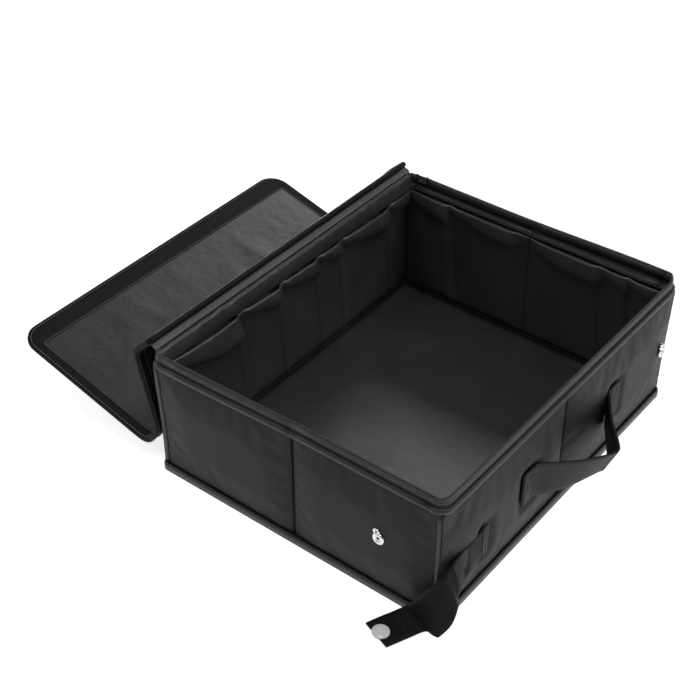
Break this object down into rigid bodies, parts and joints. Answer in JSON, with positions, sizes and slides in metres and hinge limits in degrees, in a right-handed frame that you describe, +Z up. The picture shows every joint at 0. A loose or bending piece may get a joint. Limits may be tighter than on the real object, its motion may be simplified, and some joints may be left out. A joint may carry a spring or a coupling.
{
  "type": "foldable litter box",
  "caption": "Soft foldable litter box of black woven cloth over boards, with creased walls that fold flat, a zipped hanging lid, a carry handle and a snap strap",
  "frame": {"origin": "middle of the foot's underside, with the box standing on the floor", "axes": "+Z up, -Y towards the wall with the handle, +Y towards the hanging lid, +X to the right as seen from the handle's side"},
  "size_m": [0.452, 0.5667, 0.1549],
  "materials": {
    "outer_cloth": "black woven polyester with a faint sheen",
    "inner_lining": "thin black coated lining cloth, slightly shiny",
    "lid_lining": "thin dark grey coated lining cloth, slightly shiny",
    "binding_tape": "ribbed black binding tape",
    "zip_tape": "black zip tape with a fine coil",
    "webbing": "black woven webbing",
    "board": "grey stiffening board",
    "padding": "white foam padding",
    "snap_metal": "bright nickel",
    "snap_cap": "light grey painted cap"
  },
  "bodies": {
    "base": {"base_cover": "outer_cloth", "base_lining": "inner_lining", "base_binding": "binding_tape", "back_cover": "outer_cloth", "back_board_left": "board", "back_board_right": "board", "back_lining": "inner_lining", "back_rim": "binding_tape", "back_corner_tape_left": "binding_tape", "back_corner_tape_right": "binding_tape"},
    "left_rear": {"left_rear_cover": "outer_cloth", "left_rear_board": "board", "left_rear_lining": "inner_lining", "left_rear_rim_binding": "binding_tape", "left_rear_zip_tape": "zip_tape"},
    "left_front": {"left_front_cover": "outer_cloth", "left_front_board": "board", "left_front_lining": "inner_lining", "left_front_rim_binding": "binding_tape", "left_front_zip_tape": "zip_tape", "left_stud": "snap_metal"},
    "right_rear": {"right_rear_cover": "outer_cloth", "right_rear_board": "board", "right_rear_lining": "inner_lining", "right_rear_rim_binding": "binding_tape", "right_rear_zip_tape": "zip_tape"},
    "right_front": {"right_front_cover": "outer_cloth", "right_front_board": "board", "right_front_lining": "inner_lining", "right_front_rim_binding": "binding_tape", "right_front_zip_tape": "zip_tape"},
    "front": {"front_cover": "outer_cloth", "front_board_left": "board", "front_board_right": "board", "front_lining": "inner_lining", "front_rim_binding": "binding_tape", "front_zip_tape": "zip_tape", "front_corner_tape_left": "binding_tape", "front_corner_tape_right": "binding_tape", "front_stud": "snap_metal", "strap_patch": "webbing", "handle_patch_left": "webbing", "handle_patch_right": "webbing"},
    "lid_inner": {"lid_hinge_strip": "lid_lining", "lid_inner_cover": "outer_cloth", "lid_inner_pad": "padding", "lid_inner_lining": "lid_lining", "lid_inner_band_left": "binding_tape", "lid_inner_band_right": "binding_tape"},
    "lid_outer": {"lid_crease_strip": "lid_lining", "lid_outer_cover": "outer_cloth", "lid_outer_pad": "padding", "lid_outer_lining": "lid_lining", "lid_outer_band": "binding_tape"},
    "handle": {"handle": "webbing"},
    "strap": {"strap_tail": "webbing", "snap_cap": "snap_cap", "snap_socket": "snap_metal"},
    "zip_slider": {"zip_slider": "snap_metal"},
    "zip_pull": {"zip_pull": "snap_metal"}
  },
  "joints": [
    {"name": "left_rear_hinge", "type": "hinge", "parent": "base", "child": "left_rear", "pos_m": [-0.19, 0.155, 0], "axis": [0, 0, 1], "range_deg": [0, 86]},
    {"name": "left_crease", "type": "hinge", "parent": "left_rear", "child": "left_front", "pos_m": [-0.2005, 0, 0], "axis": [0, 0, 1], "range_deg": [-172, 0]},
    {"name": "front_hinge", "type": "hinge", "parent": "left_front", "child": "front", "pos_m": [-0.19, -0.155, 0], "axis": [0, 0, 1], "range_deg": [0, 86]},
    {"name": "right_rear_hinge", "type": "hinge", "parent": "base", "child": "right_rear", "pos_m": [0.19, 0.155, 0], "axis": [0, 0, 1], "range_deg": [-86, 0]},
    {"name": "right_crease", "type": "hinge", "parent": "right_rear", "child": "right_front", "pos_m": [0.2005, 0, 0], "axis": [0, 0, 1], "range_deg": [0, 172]},
    {"name": "lid_hinge", "type": "hinge", "parent": "base", "child": "lid_inner", "pos_m": [0, 0.168, 0.1547], "axis": [1, 0, 0], "range_deg": [0, 263.5]},
    {"name": "lid_bend", "type": "hinge", "parent": "lid_inner", "child": "lid_outer", "pos_m": [0, 0.182, 0.013], "axis": [1, 0, 0], "range_deg": [-101.5, 0]},
    {"name": "handle_hinge", "type": "hinge", "parent": "front", "child": "handle", "pos_m": [0, -0.1653, 0.088], "axis": [-1, 0, 0], "range_deg": [0, 80]},
    {"name": "strap_hinge", "type": "hinge", "parent": "front", "child": "strap", "pos_m": [-0.14, -0.1676, 0], "axis": [0, 0, -1], "range_deg": [-100, 0]},
    {"name": "zip_slide", "type": "slide", "parent": "right_rear", "child": "zip_slider", "axis": [0, -1, 0], "range_m": [0, 0.09]},
    {"name": "zip_pull_hinge", "type": "hinge", "parent": "zip_slider", "child": "zip_pull", "pos_m": [0.2011, 0.141, 0.14625], "axis": [1, 0, 0], "range_deg": [-60, 60]}
  ],
  "couplings": [
    {"joint": "left_crease", "follows": "left_rear_hinge", "ratio": -2},
    {"joint": "front_hinge", "follows": "left_rear_hinge", "ratio": 1},
    {"joint": "right_rear_hinge", "follows": "left_rear_hinge", "ratio": -1},
    {"joint": "right_crease", "follows": "left_rear_hinge", "ratio": 2},
    {"joint": "lid_bend", "follows": "lid_hinge", "ratio": -0.38371}
  ]
}
